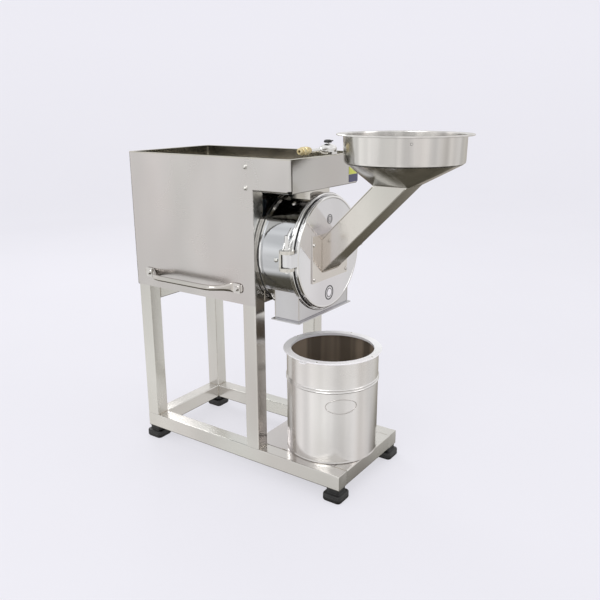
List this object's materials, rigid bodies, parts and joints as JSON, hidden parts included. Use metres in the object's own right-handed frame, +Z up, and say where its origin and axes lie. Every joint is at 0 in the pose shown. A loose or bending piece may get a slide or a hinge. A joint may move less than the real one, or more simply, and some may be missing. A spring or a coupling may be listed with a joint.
{
  "type": "hammer mill",
  "caption": "Stainless grain mill on a tube stand: hinged grinding chamber with chute and pan hopper, top tray, motor under the cover and a drum for the meal.",
  "frame": {"origin": "centre of the bounding box at floor level, under the feet", "axes": "+Z up; -Y is the front, where the door, chute and hopper are; +X is to the right seen from the front"},
  "size_m": [0.421, 0.888, 0.888],
  "materials": {
    "satin_tube": "satin stainless tube",
    "stainless_sheet": "bright annealed stainless sheet",
    "polished_steel": "mirror polished stainless",
    "drum_steel": "polished stainless with fine scratches",
    "black_rubber": "moulded black rubber",
    "motor_paint": "grey-blue enamel on cast metal",
    "tool_steel": "machined steel, worn",
    "valve_brass": "pale plated brass",
    "black_plastic": "black moulded plastic"
  },
  "bodies": {
    "root": {"base_side_rail_left": "satin_tube", "base_side_rail_right": "satin_tube", "base_front_rail": "satin_tube", "base_rear_rail": "satin_tube", "leg_front_left": "satin_tube", "leg_front_right": "satin_tube", "leg_rear_left": "satin_tube", "leg_rear_right": "satin_tube", "shelf_rail_left": "satin_tube", "shelf_rail_right": "satin_tube", "shelf_front_rail": "satin_tube", "shelf_rear_rail": "satin_tube", "foot_front_left": "black_rubber", "foot_front_right": "black_rubber", "foot_rear_left": "black_rubber", "foot_rear_right": "black_rubber", "platform_plate": "stainless_sheet", "side_panel_left": "stainless_sheet", "side_panel_right": "stainless_sheet", "rear_panel": "stainless_sheet", "front_apron": "stainless_sheet", "top_tray": "stainless_sheet", "panel_handle_left": "polished_steel", "panel_handle_right": "polished_steel", "motor_base_plate": "stainless_sheet", "motor_body": "motor_paint", "motor_front_shield": "motor_paint", "motor_rear_shield": "motor_paint", "fan_cover": "motor_paint", "terminal_box": "motor_paint", "chamber_back_plate": "stainless_sheet", "chamber_gasket": "black_rubber", "chamber_shell": "polished_steel", "grinding_screen": "tool_steel", "outlet_spout": "stainless_sheet", "feed_throat": "stainless_sheet", "hinge_bracket": "stainless_sheet", "hinge_pin": "polished_steel", "clamp_bracket": "stainless_sheet", "water_valve": "valve_brass"},
    "rotor": {"motor_shaft": "tool_steel", "cooling_fan": "black_plastic", "rotor_carrier": "tool_steel", "rotor_front_disc": "tool_steel"},
    "hammer_1": {"hammer_1": "tool_steel"},
    "hammer_2": {"hammer_2": "tool_steel"},
    "hammer_3": {"hammer_3": "tool_steel"},
    "hammer_4": {"hammer_4": "tool_steel"},
    "door": {"chamber_door": "polished_steel", "door_gasket": "black_rubber", "inlet_chute": "stainless_sheet", "hopper_pan": "stainless_sheet", "hopper_funnel": "stainless_sheet"},
    "swing_bolt": {"swing_bolt": "polished_steel"},
    "clamp_washer": {"clamp_washer": "stainless_sheet"},
    "hand_nut": {"hand_nut": "polished_steel"},
    "feed_gate": {"feed_gate": "stainless_sheet"},
    "valve_knob": {"valve_knob": "black_plastic"},
    "drum": {"collecting_drum": "drum_steel", "drum_ring": "drum_steel"}
  },
  "joints": [
    {"name": "rotor_spin", "type": "hinge", "parent": "root", "child": "rotor", "pos_m": [-0.00895, -0.027, 0.593], "axis": [0, 1, 0], "continuous": true},
    {"name": "hammer_1_swing", "type": "hinge", "parent": "rotor", "child": "hammer_1", "pos_m": [-0.00895, -0.027, 0.668], "axis": [0, 1, 0], "continuous": true},
    {"name": "hammer_2_swing", "type": "hinge", "parent": "rotor", "child": "hammer_2", "pos_m": [0.06605, -0.027, 0.593], "axis": [0, 1, 0], "continuous": true},
    {"name": "hammer_3_swing", "type": "hinge", "parent": "rotor", "child": "hammer_3", "pos_m": [-0.00895, -0.027, 0.518], "axis": [0, 1, 0], "continuous": true},
    {"name": "hammer_4_swing", "type": "hinge", "parent": "rotor", "child": "hammer_4", "pos_m": [-0.08395, -0.027, 0.593], "axis": [0, 1, 0], "continuous": true},
    {"name": "door_swing", "type": "hinge", "parent": "root", "child": "door", "pos_m": [-0.16745, -0.076, 0.6], "axis": [0, 0, -1], "range_deg": [0, 105]},
    {"name": "clamp_swing", "type": "hinge", "parent": "root", "child": "swing_bolt", "pos_m": [0.14955, -0.062, 0.6], "axis": [0, 0, -1], "range_deg": [0, 90]},
    {"name": "nut_travel", "type": "slide", "parent": "swing_bolt", "child": "clamp_washer", "axis": [-1, 0, 0], "range_m": [0, 0.0025]},
    {"name": "nut_spin", "type": "hinge", "parent": "clamp_washer", "child": "hand_nut", "pos_m": [0.19605, -0.062, 0.6], "axis": [-1, 0, 0], "range_deg": [0, 600]},
    {"name": "feed_gate_slide", "type": "slide", "parent": "root", "child": "feed_gate", "axis": [-1, 0, 0], "range_m": [0, 0.085]},
    {"name": "valve_turn", "type": "hinge", "parent": "root", "child": "valve_knob", "pos_m": [0.02405, -0.066, 0.862], "axis": [0, 0, 1], "range_deg": [0, 90]},
    {"name": "drum_pull", "type": "slide", "parent": "root", "child": "drum", "axis": [0, -1, 0], "range_m": [0, 0.3]}
  ],
  "couplings": [
    {"joint": "nut_spin", "follows": "nut_travel", "rad_per_m": 4188.8}
  ]
}
